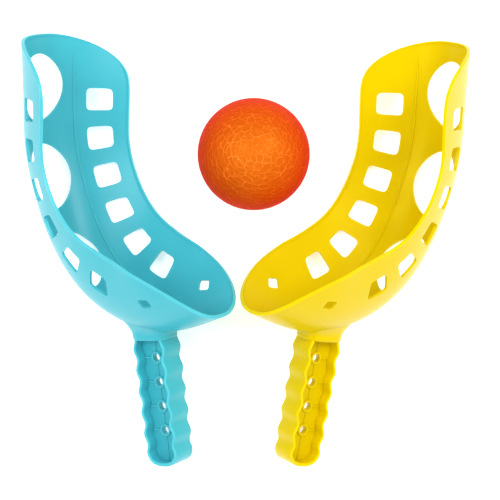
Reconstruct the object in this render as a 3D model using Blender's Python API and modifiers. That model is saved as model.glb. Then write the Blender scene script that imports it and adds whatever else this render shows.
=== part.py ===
"""Scoop ball set: two moulded plastic catching scoops and a soft ball, lying on the floor.

Each scoop is one moulding: a trough-shaped basket with seven windows down each side wall and
three ovals down its back, a collar, and a grip of H section with finger waves, a web, and four
bosses with holes. Both scoops come out of the same mould, so one function makes them.

A scoop is modelled upright: the grip runs down along Z from the collar at the origin, and the
basket swings back behind it and then rises, open towards +X, the same on both sides of Y = 0.
It is then laid down on the floor, where it rests on its belly and on the end of its grip.
"""

import math

import bmesh
import bpy
import numpy as np
from mathutils import Matrix, Vector

MM = 0.001

# Basket: stations down the middle of the back, from the tip to the lip.
# Each gives X and Z of the back, the depth of the trough there and its half width, in parts of
# which the basket's height has 244.
BASKET_HEIGHT = 244.0 * MM
PART = BASKET_HEIGHT / 244.0
STATIONS = (
    (-84.0, 244.0, 46.5, 55.0),
    (-91.0, 202.0, 52.0, 54.0),
    (-96.0, 157.0, 49.5, 54.0),
    (-91.0, 111.0, 49.0, 54.0),
    (-77.5, 65.0, 57.5, 53.0),
    (-49.0, 28.0, 63.0, 51.5),
    (-7.0, 7.5, 61.0, 50.5),
    (31.0, 5.5, 55.0, 51.0),
    (68.0, 15.0, 49.5, 52.0),
)
SECTION_POWER = 2.4
WALL = 2.2 * MM
RIM_BEAD = 3.2 * MM
BEAD_WIDTH = 3.0 * MM
TIP_ROUND = 44.0 * PART
TIP_POWER = 2.7
LIP_ROUND = 69.0 * PART
LIP_POWER = 3.25

# Windows down each side wall: a run of six, and a small one near the lip
WINDOW_COUNT = 6
FIRST_WINDOW = 54.0 * PART
WINDOW_PITCH = 31.0 * PART
WINDOW_LINE = 0.785
WINDOW_LENGTH = 18.0 * PART
WINDOW_WIDTH_FIRST = 22.0 * PART
WINDOW_WIDTH_LAST = 19.0 * PART
WINDOW_POWER = 6.0
SMALL_WINDOW_STEP = 51.0 * PART
SMALL_WINDOW_LINE = 0.745
SMALL_WINDOW_LENGTH = 10.0 * PART
SMALL_WINDOW_WIDTH = 8.5 * PART

# Ovals down the middle of the back, with the land above the first and between them
OVAL_COUNT = 3
OVAL_LENGTH = 54.0 * PART
OVAL_WIDTH = 46.0 * PART
OVAL_POWER = 2.0
TIP_LAND = 15.0 * PART
OVAL_LAND = 19.0 * PART
FIRST_OVAL = TIP_LAND + OVAL_LENGTH / 2
OVAL_PITCH = OVAL_LENGTH + OVAL_LAND

# Moulded ridge on each side of the ovals, inside the trough
RIDGE_LINE = 0.556
RIDGE_START = 16.0 * PART
RIDGE_END = 232.0 * PART
RIDGE_HEIGHT = 0.8 * MM
RIDGE_WIDTH = 1.4 * MM

# Mesh: longest cell of the basket, room left round a window and round an oval
CELL = 12.0 * MM
WINDOW_MARGIN = 1.24
OVAL_MARGIN = 1.16

# Collar between the basket and the grip
COLLAR_BOTTOM = -2.0 * MM
COLLAR_HALF_X = 16.0 * MM
COLLAR_HALF_Y = 12.5 * MM
COLLAR_FLARE_X = 5.5 * MM
COLLAR_FLARE_Y = 7.0 * MM
COLLAR_EDGE = 2.0 * MM
COLLAR_BACK = 1.5 * MM
COLLAR_POINTS = 20
COLLAR_POWER = 2.6

# Grip
GRIP_LENGTH = 103.0 * MM
GRIP_HALF_X = 14.5 * MM
GRIP_HALF_Y = 11.0 * MM
GRIP_END_ROUND = 12.0 * MM
GRIP_END_POWER = 2.4
GRIP_INTO_COLLAR = 3.0 * MM
GRIP_EDGE = 1.2 * MM
WAVE_HEIGHT = 1.2 * MM
WAVE_PITCH = 17.0 * MM
FIRST_WAVE = 9.5 * MM
WAVE_STEPS = 4
FLANGE = 2.8 * MM
END_FLANGE = 3.4 * MM
WEB = 2.6 * MM
BOSS_COUNT = 4
FIRST_BOSS = 17.0 * MM
BOSS_PITCH = 19.5 * MM
BOSS_DIAMETER = 10.0 * MM
BOSS_HEIGHT = 2.4 * MM
BOSS_HOLE = 6.2 * MM
CROSS_RIB_HEIGHT = 1.3 * MM
CROSS_RIB_WIDTH = 1.1 * MM
SPINE_RIB_HEIGHT = 0.6 * MM
SPINE_RIB_WIDTH = 0.8 * MM

# Ball
BALL_DIAMETER = 89.0 * MM
BALL_CENTRE = (3.0 * MM, 75.0 * MM)

# How the scoops lie: the roll about the grip, the lean of the grip and where the collar is
ROLL = math.radians(52.0)
BLUE_LEAN = math.radians(6.9)
YELLOW_LEAN = math.radians(10.4)
BLUE_COLLAR = (-73.8 * MM, -69.5 * MM)
YELLOW_COLLAR = (53.6 * MM, -70.0 * MM)
SETTLE_STEPS = 20


def clear_scene():
    for thing in list(bpy.data.objects):
        bpy.data.objects.remove(thing, do_unlink=True)


def make_collection(name):
    collection = bpy.data.collections.new(name)
    bpy.context.scene.collection.children.link(collection)
    return collection


def plastic(name, colour, roughness):
    """Plain moulded material."""
    material = bpy.data.materials.new(name)
    material.use_nodes = True
    shader = material.node_tree.nodes["Principled BSDF"]
    shader.inputs["Base Color"].default_value = (*colour, 1.0)
    shader.inputs["Roughness"].default_value = roughness
    shader.inputs["Metallic"].default_value = 0.0
    return material


def spline(values, t):
    """Natural cubic through equally spaced values, read at station numbers t, with its slope."""
    values = np.asarray(values, float)
    last = len(values) - 1
    system = 4.0 * np.eye(last + 1) + np.eye(last + 1, k=1) + np.eye(last + 1, k=-1)
    system[0, 0] = 2.0
    system[last, last] = 2.0
    rise = np.empty_like(values)
    rise[1:-1] = values[2:] - values[:-2]
    rise[0] = values[1] - values[0]
    rise[-1] = values[-1] - values[-2]
    slopes = np.linalg.solve(system, 3.0 * rise)
    t = np.clip(np.asarray(t, float), 0.0, last)
    i = np.minimum(t.astype(int), last - 1)
    f = (t - i)[..., None]
    a, b, da, db = values[i], values[i + 1], slopes[i], slopes[i + 1]
    place = (a * (1 + 2 * f) * (1 - f) ** 2 + b * f * f * (3 - 2 * f)
             + da * f * (1 - f) ** 2 - db * f * f * (1 - f))
    slope = 6 * f * (1 - f) * (b - a) + da * (1 - f) * (1 - 3 * f) + db * f * (3 * f - 2)
    return place, slope


def trough(t, q):
    """Point of the basket's outer face: t is a station number, q runs from -1 to 1 across."""
    t, q = np.broadcast_arrays(np.asarray(t, float), np.asarray(q, float))
    place, slope = spline(np.array(STATIONS) * PART, t)
    run = slope[..., :2] / np.linalg.norm(slope[..., :2], axis=-1, keepdims=True)
    lift = place[..., 2] * np.abs(q) ** SECTION_POWER
    x = place[..., 0] - run[..., 1] * lift
    z = place[..., 1] + run[..., 0] * lift
    return np.stack([x, place[..., 3] * q, z], -1)


def station_at(distance, q):
    """Station number that lies this far from the tip along the line of constant q."""
    t = np.linspace(0.0, len(STATIONS) - 1, 401)
    steps = np.linalg.norm(np.diff(trough(t, q), axis=0), axis=1)
    return float(np.interp(distance, np.concatenate([[0.0], np.cumsum(steps)]), t))


def per_station(t, q):
    """Length of one station step along the basket there."""
    half_step = 0.05
    return float(np.linalg.norm(trough(t + half_step, q) - trough(t - half_step, q))) / (2 * half_step)


def per_share(t, q):
    """Length of one unit of q across the basket there."""
    half_step = 0.02
    return float(np.linalg.norm(trough(t, q + half_step) - trough(t, q - half_step))) / (2 * half_step)


def edge_share(t, tip, lip, last):
    """Largest q at station t, inside the rounded corners."""
    near_tip = np.clip(1.0 - t / tip, 0.0, 1.0)
    near_lip = np.clip(1.0 - (last - t) / lip, 0.0, 1.0)
    return ((1.0 - near_tip ** TIP_POWER) ** (1.0 / TIP_POWER)
            * (1.0 - near_lip ** LIP_POWER) ** (1.0 / LIP_POWER))


def draw_back(q, reach, power):
    """How far the end of the basket draws back at q, as rounded corners do."""
    return reach * (1.0 - (1.0 - np.abs(q) ** power) ** (1.0 / power))


def blank(along, across):
    """Station and share of a point of the blank, whose outline is the basket's rounded rim.

    along runs from 0 at the tip to 1 at the lip, and across from -1 to 1. The four sides of the
    outline are blended, so that the grid's outer rows follow the rim all the way round.
    """
    last = len(STATIONS) - 1
    tip = TIP_ROUND / per_station(0.5, 0.0)
    lip = LIP_ROUND / per_station(last - 0.5, 0.0)
    tip_corner = 2.0 ** (-1.0 / TIP_POWER)
    lip_corner = 2.0 ** (-1.0 / LIP_POWER)
    first_t = tip * (1.0 - tip_corner)
    last_t = last - lip * (1.0 - lip_corner)
    side_t = first_t + along * (last_t - first_t)
    tip_t = draw_back(across * tip_corner, tip, TIP_POWER)
    lip_t = last - draw_back(across * lip_corner, lip, LIP_POWER)
    t = side_t + (1.0 - along) * (tip_t - first_t) + along * (lip_t - last_t)
    return t, across * edge_share(side_t, tip, lip, last)


def filled(stops, length_of):
    """The stops, with as many equal steps put between them as keep each below CELL."""
    values = [stops[0]]
    for start, end in zip(stops, stops[1:]):
        count = max(1, math.ceil(length_of(start, end) / CELL - 0.05))
        values += [start + (end - start) * k / count for k in range(1, count + 1)]
    return np.array(values)


def across_shares():
    """Lines that run from tip to lip: along the rim bead, beside the windows and the ovals."""
    middle = (len(STATIONS) - 1) / 2
    half_window = WINDOW_MARGIN * WINDOW_WIDTH_FIRST / 2 / per_share(middle, WINDOW_LINE)
    bead = BEAD_WIDTH / per_share(middle, 0.97)
    half_oval = OVAL_MARGIN * OVAL_WIDTH / 2 / (STATIONS[0][3] * PART)
    half = [0.0, half_oval, WINDOW_LINE - half_window, WINDOW_LINE + half_window, 1.0 - bead, 1.0]
    stops = [-q for q in half[:0:-1]] + half[1:]

    def length_of(start, end):
        return per_share(middle, (start + end) / 2) * (end - start)

    return filled(stops, length_of)


def along_shares(windows):
    """Lines that run across the basket: along both ends' bead and beside the windows."""
    fine = np.linspace(0.0, 1.0, 401)
    t, _ = blank(fine, WINDOW_LINE)
    stops = []
    for centre, _, half, _, _ in windows:
        stops += list(np.interp([centre - WINDOW_MARGIN * half, centre + WINDOW_MARGIN * half], t, fine))
    length = np.linalg.norm(np.diff(trough(t, WINDOW_LINE), axis=0), axis=1).sum()
    bead = BEAD_WIDTH / length

    def length_of(start, end):
        return (end - start) * length

    return filled([0.0, bead] + stops + [1.0 - bead, 1.0], length_of)


def windows_of(side):
    """The side wall's windows: station, share, half sizes in stations and shares, corner power."""
    line = side * WINDOW_LINE
    cuts = []
    for number in range(WINDOW_COUNT):
        t = station_at(FIRST_WINDOW + number * WINDOW_PITCH, line)
        blend = number / max(1, WINDOW_COUNT - 1)
        width = WINDOW_WIDTH_FIRST + blend * (WINDOW_WIDTH_LAST - WINDOW_WIDTH_FIRST)
        cuts.append((t, line, WINDOW_LENGTH / 2 / per_station(t, line),
                     width / 2 / per_share(t, line), WINDOW_POWER))
    far = FIRST_WINDOW + (WINDOW_COUNT - 1) * WINDOW_PITCH + SMALL_WINDOW_STEP
    line = side * SMALL_WINDOW_LINE
    t = station_at(far, line)
    cuts.append((t, line, SMALL_WINDOW_LENGTH / 2 / per_station(t, line),
                 SMALL_WINDOW_WIDTH / 2 / per_share(t, line), WINDOW_POWER))
    return cuts


def ovals():
    """The ovals down the back, in the same terms as the windows."""
    cuts = []
    for number in range(OVAL_COUNT):
        t = station_at(FIRST_OVAL + number * OVAL_PITCH, 0.0)
        half_width = OVAL_WIDTH / 2 / float(spline(np.array(STATIONS) * PART, t)[0][3])
        cuts.append((t, 0.0, OVAL_LENGTH / 2 / per_station(t, 0.0), half_width, OVAL_POWER))
    return cuts


def block_round(cut, t, q):
    """Rows and columns of the grid that close round a cut-out."""
    centre_t, centre_q, half_t, half_q, _ = cut
    far = np.hypot((t - centre_t) / half_t, (q - centre_q) / half_q)
    row, column = np.unravel_index(np.argmin(far), far.shape)
    reach = (t[:, column] - centre_t) / half_t
    width = (q[row, :] - centre_q) / half_q
    room = 1.0 + 0.5 * (min(WINDOW_MARGIN, OVAL_MARGIN) - 1.0)
    return (int(np.nonzero(reach < -room)[0].max()), int(np.nonzero(reach > room)[0].min()),
            int(np.nonzero(width < -room)[0].max()), int(np.nonzero(width > room)[0].min()))


def loop_round(block):
    """Grid places round the block's edge, in order."""
    top, bottom, left, right = block
    return ([(top, j) for j in range(left, right)] + [(i, right) for i in range(top, bottom)]
            + [(bottom, j) for j in range(right, left, -1)]
            + [(i, left) for i in range(bottom, top, -1)])


def basket_mesh():
    """The basket's outer face as a grid of quads, opened at each window and oval."""
    windows = windows_of(1)
    t, q = blank(along_shares(windows)[:, None], across_shares()[None, :])
    points = trough(t, q)
    rows, columns = t.shape
    bm = bmesh.new()
    verts = [[bm.verts.new(points[i, j]) for j in range(columns)] for i in range(rows)]
    opened = set()
    for cut in windows + windows_of(-1) + ovals():
        block = block_round(cut, t, q)
        opened |= {(i, j) for i in range(block[0], block[1]) for j in range(block[2], block[3])}
        loop = loop_round(block)
        rim = []
        for i, j in loop:
            a = (t[i, j] - cut[0]) / cut[2]
            b = (q[i, j] - cut[1]) / cut[3]
            radius = (abs(a) ** cut[4] + abs(b) ** cut[4]) ** (-1.0 / cut[4])
            rim.append(bm.verts.new(trough(cut[0] + a * radius * cut[2], cut[1] + b * radius * cut[3])))
        for k, (i, j) in enumerate(loop):
            after = (k + 1) % len(loop)
            bm.faces.new((verts[i][j], rim[k], rim[after], verts[loop[after][0]][loop[after][1]]))
    for i in range(rows - 1):
        for j in range(columns - 1):
            if (i, j) not in opened:
                bm.faces.new((verts[i][j], verts[i + 1][j], verts[i + 1][j + 1], verts[i][j + 1]))
    edge = {verts[i][j] for i in range(rows) for j in range(columns)
            if i in (0, rows - 1) or j in (0, columns - 1)}
    for vert in [v for v in bm.verts if not v.link_faces]:
        bm.verts.remove(vert)
    bm.verts.index_update()
    on_edge = [v.index for v in edge]
    mesh = bpy.data.meshes.new("basket")
    bm.to_mesh(mesh)
    bm.free()
    return mesh, on_edge


def baked(thing):
    """The object's mesh with its modifiers done; the object itself is removed."""
    bpy.context.view_layer.update()
    graph = bpy.context.evaluated_depsgraph_get()
    mesh = bpy.data.meshes.new_from_object(thing.evaluated_get(graph))
    bpy.data.objects.remove(thing, do_unlink=True)
    return mesh


def basket_shell(cutters):
    """The basket's wall, which grows inwards and is thicker along its rim, as a mesh."""
    mesh, on_edge = basket_mesh()
    shell = bpy.data.objects.new("basket_shell", mesh)
    cutters.objects.link(shell)
    group = shell.vertex_groups.new(name="wall")
    group.add(range(len(mesh.vertices)), WALL / RIM_BEAD, "REPLACE")
    group.add(on_edge, 1.0, "REPLACE")
    solid = shell.modifiers.new("Wall", "SOLIDIFY")
    solid.thickness = RIM_BEAD
    solid.offset = 1.0
    solid.use_even_offset = True
    solid.use_quality_normals = True
    solid.vertex_group = group.name
    return baked(shell)


def loft(rings, name, cap_centre=None):
    """Closed solid through rings of points; the last ring may be closed by a fan to a point."""
    bm = bmesh.new()
    loops = [[bm.verts.new(point) for point in ring] for ring in rings]
    count = len(loops[0])
    for lower, upper in zip(loops, loops[1:]):
        for k in range(count):
            after = (k + 1) % count
            bm.faces.new((lower[k], lower[after], upper[after], upper[k]))
    bm.faces.new(loops[0][::-1])
    if cap_centre is None:
        bm.faces.new(loops[-1])
    else:
        middle = bm.verts.new(cap_centre)
        for k in range(count):
            bm.faces.new((loops[-1][k], loops[-1][(k + 1) % count], middle))
    bmesh.ops.recalc_face_normals(bm, faces=bm.faces)
    mesh = bpy.data.meshes.new(name)
    bm.to_mesh(mesh)
    bm.free()
    return mesh


def ridge(side):
    """Thin moulded ridge that follows one line of the trough, rooted in the wall's middle."""
    line = side * RIDGE_LINE
    count = max(2, round((RIDGE_END - RIDGE_START) / CELL))
    rings = []
    for k in range(count + 1):
        t = station_at(RIDGE_START + (RIDGE_END - RIDGE_START) * k / count, line)
        step = 0.01
        place = Vector(trough(t, line))
        ahead = Vector(trough(t + step, line)) - Vector(trough(t - step, line))
        aside = Vector(trough(t, line + step)) - Vector(trough(t, line - step))
        inward = ahead.cross(aside).normalized()
        aside.normalize()
        half = aside * RIDGE_WIDTH / 2
        root, crest = place + inward * WALL / 2, place + inward * (WALL + RIDGE_HEIGHT)
        rings.append([root - half, root + half, crest + half / 2, crest - half / 2])
    return loft(rings, "ridge")


def basket_bottom(x, y):
    """Height of the basket's outer face over the grip, at x and y."""
    t = np.linspace((len(STATIONS) - 1) * 0.55, len(STATIONS) - 1, 121)
    half_width = spline(np.array(STATIONS) * PART, t)[0][:, 3]
    points = trough(t, y / half_width)
    return float(np.interp(x, points[:, 0], points[:, 2]))


def collar_ring(half_x, half_y):
    """Points x, y round the collar, a rounded oblong that sits a little behind the grip's middle."""
    ring = []
    for k in range(COLLAR_POINTS):
        angle = 2.0 * math.pi * (k + 0.5) / COLLAR_POINTS
        c, s = math.cos(angle), math.sin(angle)
        radius = (abs(c) ** COLLAR_POWER + abs(s) ** COLLAR_POWER) ** (-1.0 / COLLAR_POWER)
        ring.append((half_x * radius * c - COLLAR_BACK, half_y * radius * s))
    return ring


def collar():
    """Cup under the basket that the grip grows out of; its top lies inside the basket's wall."""
    def in_wall(x, y):
        return basket_bottom(x, y) + WALL / 2

    rings = []
    for share in (0.0, 1.0):
        pull_in = COLLAR_EDGE * (1.0 - share)
        ring = collar_ring(COLLAR_HALF_X - pull_in, COLLAR_HALF_Y - pull_in)
        rings.append([(x, y, COLLAR_BOTTOM + COLLAR_EDGE * share) for x, y in ring])
    for share in (0.5, 1.0):
        flare = share ** 2
        ring = collar_ring(COLLAR_HALF_X + COLLAR_FLARE_X * flare,
                           COLLAR_HALF_Y + COLLAR_FLARE_Y * flare)
        low = COLLAR_BOTTOM + COLLAR_EDGE
        rings.append([(x, y, low + (in_wall(x, y) - low) * share) for x, y in ring])
    for share in (0.66, 0.33):
        ring = collar_ring((COLLAR_HALF_X + COLLAR_FLARE_X) * share,
                           (COLLAR_HALF_Y + COLLAR_FLARE_Y) * share)
        rings.append([(x, y, in_wall(x, y)) for x, y in ring])
    return loft(rings, "collar", (-COLLAR_BACK, 0.0, in_wall(-COLLAR_BACK, 0.0)))


def grip_outline(inset, end_inset, top):
    """Wavy outline of the grip in X and Z, drawn in by inset at the sides."""
    straight = GRIP_LENGTH - GRIP_END_ROUND
    step = WAVE_PITCH / WAVE_STEPS
    depths = list(np.arange(-top, straight, step)) + [straight]
    side = []
    for depth in depths:
        wave = WAVE_HEIGHT * math.cos(2.0 * math.pi * (depth - FIRST_WAVE) / WAVE_PITCH)
        side.append((GRIP_HALF_X + wave - inset, -depth))
    half_end, end_depth = side[-1][0], GRIP_END_ROUND - end_inset
    for k in range(1, 6):
        angle = math.pi / 2 * k / 6
        side.append((half_end * math.cos(angle) ** (2 / GRIP_END_POWER),
                     -straight - end_depth * math.sin(angle) ** (2 / GRIP_END_POWER)))
    return side + [(0.0, -straight - end_depth)] + [(-x, z) for x, z in reversed(side)]


def slab(outline, y_from, y_to, name, edge=0.0):
    """Outline in X and Z made solid between two values of Y, with its edges cut at 45 degrees."""
    def ring(y, pull_in):
        points = [Vector(point) for point in outline]
        moved = []
        for before, here, after in zip(points[-1:] + points[:-1], points, points[1:] + points[:1]):
            across = (after - before).normalized()
            moved.append(here + Vector((-across.y, across.x)) * -pull_in)
        return [(p.x, y, p.y) for p in moved] if pull_in else [(p.x, y, p.y) for p in points]
    rings = [ring(y_from, edge), ring(y_from + edge, 0.0), ring(y_to - edge, 0.0), ring(y_to, edge)]
    return loft(rings if edge else [rings[0], rings[-1]], name)


def box(low, high, name):
    bm = bmesh.new()
    centre = [(a + b) / 2 for a, b in zip(low, high)]
    size = [b - a for a, b in zip(low, high)]
    bmesh.ops.create_cube(bm, size=1.0, matrix=Matrix.Translation(centre) @ Matrix.Diagonal((*size, 1.0)))
    mesh = bpy.data.meshes.new(name)
    bm.to_mesh(mesh)
    bm.free()
    return mesh


def cross_cylinder(radius, depth, z, name, sides=12):
    """Cylinder along Y at the height z."""
    bm = bmesh.new()
    turn = Matrix.Translation((0.0, 0.0, z)) @ Matrix.Rotation(math.pi / 2, 4, "X")
    bmesh.ops.create_cone(bm, cap_ends=True, segments=sides, radius1=radius, radius2=radius,
                          depth=depth, matrix=turn)
    mesh = bpy.data.meshes.new(name)
    bm.to_mesh(mesh)
    bm.free()
    return mesh


def combined(base, tools, operation, cutters):
    """Mesh of the base with each tool joined to it or cut from it in turn."""
    body = bpy.data.objects.new("body", base)
    cutters.objects.link(body)
    helpers = []
    for number, mesh in enumerate(tools):
        helper = bpy.data.objects.new(f"{operation.lower()}_{number}", mesh)
        cutters.objects.link(helper)
        step = body.modifiers.new(f"Step {number}", "BOOLEAN")
        step.operation = operation
        step.solver = "EXACT"
        step.object = helper
        helpers.append(helper)
    mesh = baked(body)
    for helper in helpers:
        bpy.data.objects.remove(helper, do_unlink=True)
    return mesh


def grip(cutters):
    """The grip: a wavy band round a web, with bosses, ribs and holes."""
    body = slab(grip_outline(0.0, 0.0, GRIP_INTO_COLLAR), -GRIP_HALF_Y, GRIP_HALF_Y, "grip", GRIP_EDGE)
    hollow = grip_outline(FLANGE, END_FLANGE, GRIP_INTO_COLLAR / 3)
    beyond = GRIP_HALF_Y + 1.0 * MM
    channels = [slab(hollow, WEB / 2, beyond, "channel"), slab(hollow, -beyond, -WEB / 2, "channel")]
    body = combined(body, channels, "DIFFERENCE", cutters)
    into = 0.5 * MM
    half_rib = GRIP_HALF_X - FLANGE - WAVE_HEIGHT + into
    rib_y = WEB / 2 + CROSS_RIB_HEIGHT
    spine_y = WEB / 2 + SPINE_RIB_HEIGHT
    heights = [-FIRST_BOSS - number * BOSS_PITCH for number in range(BOSS_COUNT)]
    extras = [box((-SPINE_RIB_WIDTH / 2, -spine_y, -GRIP_LENGTH + END_FLANGE - into),
                  (SPINE_RIB_WIDTH / 2, spine_y, 0.0), "spine")]
    for z in heights:
        extras.append(box((-half_rib, -rib_y, z - CROSS_RIB_WIDTH / 2),
                          (half_rib, rib_y, z + CROSS_RIB_WIDTH / 2), "cross_rib"))
        extras.append(cross_cylinder(BOSS_DIAMETER / 2, WEB + 2 * BOSS_HEIGHT, z, "boss"))
    body = combined(body, extras, "UNION", cutters)
    drills = [cross_cylinder(BOSS_HOLE / 2, 4 * GRIP_HALF_Y, z, "drill") for z in heights]
    return combined(body, drills, "DIFFERENCE", cutters)


def scoop_mesh(cutters):
    """One whole scoop, upright, with its collar at the origin."""
    parts = [collar(), grip(cutters), ridge(1), ridge(-1)]
    return combined(basket_shell(cutters), parts, "UNION", cutters)


def upright_to_side(side):
    """Turn that lays a scoop on one side wall: its roll, with the grip still level."""
    roll = side * ROLL
    return Matrix(((math.sin(roll), math.cos(roll), 0.0),
                   (0.0, 0.0, 1.0),
                   (math.cos(roll), -math.sin(roll), 0.0)))


def settled(points, side):
    """Turn at which both the belly and the end of the grip touch the floor."""
    laid = points @ np.array(upright_to_side(side)).T
    on_grip = points[:, 2] < COLLAR_BOTTOM
    low, high = math.radians(-10.0), math.radians(40.0)
    for _ in range(SETTLE_STEPS):
        droop = (low + high) / 2
        heights = laid[:, 2] * math.cos(droop) + laid[:, 1] * math.sin(droop)
        if heights[on_grip].min() > heights[~on_grip].min():
            low = droop
        else:
            high = droop
    return Matrix.Rotation(droop, 3, "X") @ upright_to_side(side)


def lay_scoop(name, mesh, side, lean, collar_place, material, collection):
    """A scoop on the floor, with its open side towards the middle of the set."""
    points = np.array([v.co for v in mesh.vertices])
    turn = Matrix.Rotation(side * lean, 3, "Z") @ settled(points, side)
    lowest = float((points @ np.array(turn).T)[:, 2].min())
    scoop = bpy.data.objects.new(name, mesh)
    scoop.data.materials.clear()
    scoop.data.materials.append(material)
    scoop.matrix_world = Matrix.Translation((*collar_place, -lowest)) @ turn.to_4x4()
    collection.objects.link(scoop)
    return scoop


def make_ball(material, collection):
    bpy.ops.mesh.primitive_uv_sphere_add(segments=28, ring_count=16, radius=BALL_DIAMETER / 2,
                                         location=(*BALL_CENTRE, BALL_DIAMETER / 2))
    ball = bpy.context.object
    ball.name = "ball"
    ball.data.name = "ball"
    ball.data.materials.append(material)
    ball.data.shade_smooth()
    for holder in list(ball.users_collection):
        holder.objects.unlink(ball)
    collection.objects.link(ball)
    return ball


def centre_on_origin(things):
    """Move the set so that the middle of its floor area is the origin."""
    bpy.context.view_layer.update()
    corners = np.array([thing.matrix_world @ v.co for thing in things for v in thing.data.vertices])
    middle = (corners.min(axis=0) + corners.max(axis=0)) / 2
    for thing in things:
        thing.location.x -= middle[0]
        thing.location.y -= middle[1]


def main():
    clear_scene()
    collection = make_collection("scoop_ball_set")
    cutters = make_collection("cutters")
    turquoise = plastic("turquoise_polypropylene", (0.06, 0.52, 0.65), 0.35)
    yellow = plastic("yellow_polypropylene", (0.92, 0.66, 0.0), 0.35)
    orange = plastic("orange_soft_pvc", (0.83, 0.12, 0.01), 0.5)
    mesh = scoop_mesh(cutters)
    mesh.shade_smooth()
    mesh.set_sharp_from_angle(angle=math.radians(35.0))
    blue_scoop = lay_scoop("scoop_blue", mesh, 1, BLUE_LEAN, BLUE_COLLAR, turquoise, collection)
    yellow_scoop = lay_scoop("scoop_yellow", mesh.copy(), -1, YELLOW_LEAN, YELLOW_COLLAR, yellow,
                             collection)
    ball = make_ball(orange, collection)
    centre_on_origin([blue_scoop, yellow_scoop, ball])


main()
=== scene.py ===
"""Scoop ball set: two moulded catching scoops and their soft ball, lying on a pale floor.

Each scoop is a thin polypropylene moulding: a curved trough with windows down its side walls and
ovals down its back, a flared collar, and a grip of H section with finger waves. The ball is a
soft PVC skin with a network of raised lines.
"""

import math

import bmesh
import bpy
import numpy as np
from bpy.props import FloatProperty, IntProperty, PointerProperty, StringProperty
from bpy.types import Operator, Panel, PropertyGroup
from mathutils import Matrix, Vector, kdtree, noise


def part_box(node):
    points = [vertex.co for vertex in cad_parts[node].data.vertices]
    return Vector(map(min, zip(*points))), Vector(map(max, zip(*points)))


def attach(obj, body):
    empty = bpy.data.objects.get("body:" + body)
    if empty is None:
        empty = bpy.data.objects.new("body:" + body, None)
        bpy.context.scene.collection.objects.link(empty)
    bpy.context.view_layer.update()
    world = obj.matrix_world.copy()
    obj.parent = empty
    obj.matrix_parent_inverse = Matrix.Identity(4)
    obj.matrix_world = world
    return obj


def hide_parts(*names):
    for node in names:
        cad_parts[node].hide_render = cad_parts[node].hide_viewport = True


bl_info = {
    "name": "Scoop ball set",
    "version": (1, 0, 0),
    "blender": (4, 5, 0),
    "location": "3D View > Sidebar > Scoop Set",
    "description": "Builds two moulded catching scoops, their soft ball and a pale studio floor",
    "category": "Add Mesh",
}

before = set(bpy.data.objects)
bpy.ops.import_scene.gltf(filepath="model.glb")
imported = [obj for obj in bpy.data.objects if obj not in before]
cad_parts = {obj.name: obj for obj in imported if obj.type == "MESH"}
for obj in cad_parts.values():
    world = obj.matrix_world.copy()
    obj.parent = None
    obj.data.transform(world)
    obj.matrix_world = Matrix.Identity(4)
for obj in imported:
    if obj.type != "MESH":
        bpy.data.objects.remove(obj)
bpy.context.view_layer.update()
MM = 0.001

# Stations down the middle of the trough's back, from the tip to the lip:
# X and Z of the back, depth and half width of the trough there, in mm
STATIONS = (
    (-84.0, 244.0, 46.5, 55.0),
    (-91.0, 202.0, 52.0, 54.0),
    (-96.0, 157.0, 49.5, 54.0),
    (-91.0, 111.0, 49.0, 54.0),
    (-77.5, 65.0, 57.5, 53.0),
    (-49.0, 28.0, 63.0, 51.5),
    (-7.0, 7.5, 61.0, 50.5),
    (31.0, 5.5, 55.0, 51.0),
    (68.0, 15.0, 49.5, 52.0),
)
LAST = len(STATIONS) - 1
SECTION_POWER = 2.4
TIP_ROUND, TIP_POWER = 44.0 * MM, 2.7
LIP_ROUND, LIP_POWER = 69.0 * MM, 3.25

# Cut-outs: first centre and pitch along the trough, share across it, length, width, corner power
WINDOW_COUNT, FIRST_WINDOW, WINDOW_PITCH, WINDOW_LINE = 6, 54.0 * MM, 31.0 * MM, 0.785
WINDOW_LENGTH, WINDOW_WIDTHS, WINDOW_POWER = 18.0 * MM, (22.0 * MM, 19.0 * MM), 6.0
SMALL_WINDOW = (51.0 * MM, 0.745, 10.0 * MM, 8.5 * MM)
OVAL_COUNT, FIRST_OVAL, OVAL_PITCH = 3, 42.0 * MM, 73.0 * MM
OVAL_LENGTH, OVAL_WIDTH, OVAL_POWER = 54.0 * MM, 46.0 * MM, 2.0
# Room for the mesh round a cut-out, as shares of its size, and the least room; the mesh's cell
# there, and how much the cells close up towards the cut's edge
WINDOW_MARGIN, OVAL_MARGIN, LEAST_MARGIN = 1.24, 1.16, 1.4 * MM
CUT_CELL, CUT_CLOSING = 1.3 * MM, 1.3

RIDGE_LINE, RIDGE_START, RIDGE_END, RIDGE_POINTS = 0.556, 16.0 * MM, 232.0 * MM, 90

COLLAR_BOTTOM, COLLAR_EDGE = -2.0 * MM, 2.0 * MM
COLLAR_HALF = (16.6 * MM, 12.9 * MM)
COLLAR_FLARE = (5.5 * MM, 7.0 * MM)
COLLAR_POWER, COLLAR_BACK = 3.6, 0.3 * MM

GRIP_LENGTH, GRIP_HALF_X, GRIP_HALF_Y = 103.0 * MM, 14.5 * MM, 11.0 * MM
GRIP_TOP, GRIP_END_ROUND, GRIP_END_POWER = 3.0 * MM, 12.0 * MM, 2.4
WAVE_PITCH, FIRST_WAVE = 17.0 * MM, 9.5 * MM
FLANGE, END_FLANGE, WEB, FLANGE_ROUND = 2.3 * MM, 2.8 * MM, 2.6 * MM, 1.1 * MM
BOSS_COUNT, FIRST_BOSS, BOSS_PITCH = 4, 17.0 * MM, 19.5 * MM
BOSS_PLACES = [-FIRST_BOSS - number * BOSS_PITCH for number in range(BOSS_COUNT)]
BOSS_RADIUS, BOSS_HEIGHT, BOSS_HOLE, BOSS_ROUND = 5.0 * MM, 1.4 * MM, 3.2 * MM, 0.6 * MM
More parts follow.
